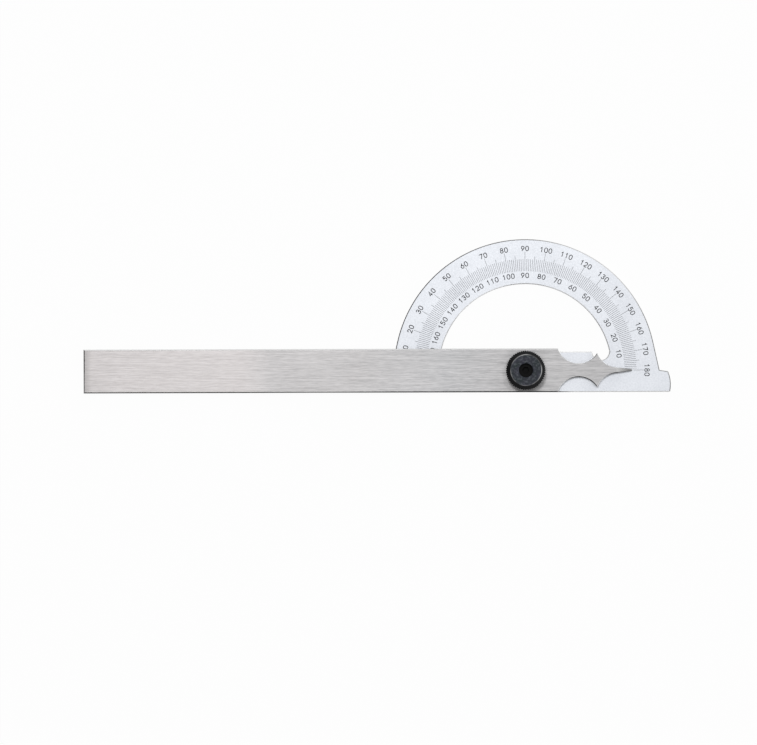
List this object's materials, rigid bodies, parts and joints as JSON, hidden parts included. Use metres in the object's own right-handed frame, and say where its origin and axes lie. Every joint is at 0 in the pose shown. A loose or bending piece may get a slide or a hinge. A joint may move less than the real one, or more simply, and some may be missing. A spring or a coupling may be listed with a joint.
{
  "type": "protractor",
  "caption": "Protractor with an open half-ring dial on a straight base, and a long bar blade with a waisted pointer end, locked at the pivot by a knurled clamp knob.",
  "frame": {"origin": "on the pivot axis, at the dial's flat back", "axes": "+Z from the dial's back towards the knob, +X along the blade towards its pointer, +Y towards the top of the half ring"},
  "size_m": [0.2686, 0.07, 0.0122],
  "materials": {
    "satin_steel": "satin chrome, matt",
    "bush_steel": "turned",
    "brass_shim": "rolled",
    "brushed_steel": "brushed along the length",
    "zinc_steel": "zinc plated",
    "spring_steel": "oiled",
    "black_oxide_screw": "black oxide",
    "black_knob": "black oxide, satin",
    "scale_ink": "black filling of the etched scale, matt"
  },
  "bodies": {
    "dial": {"dial_plate": "satin_steel", "pivot_bush": "bush_steel", "spacer_washer": "brass_shim"},
    "blade": {"blade": "brushed_steel", "flat_washer": "zinc_steel"},
    "clamp_washer": {"spring_washer": "spring_steel"},
    "clamp_knob": {"clamp_screw": "black_oxide_screw", "clamp_knob": "black_knob"}
  },
  "joints": [
    {"name": "blade_swing", "type": "hinge", "parent": "dial", "child": "blade", "pos_m": [0, 0, 0], "axis": [0, 0, 1], "range_deg": [0, 180]},
    {"name": "clamp_lift", "type": "slide", "parent": "dial", "child": "clamp_washer", "axis": [0, 0, 1], "range_m": [0, 0.0007]},
    {"name": "clamp_turn", "type": "hinge", "parent": "clamp_washer", "child": "clamp_knob", "pos_m": [0, 0, 0], "axis": [0, 0, 1], "range_deg": [0, 360]}
  ],
  "couplings": [
    {"joint": "clamp_turn", "follows": "clamp_lift", "rad_per_m": 8975.9}
  ]
}
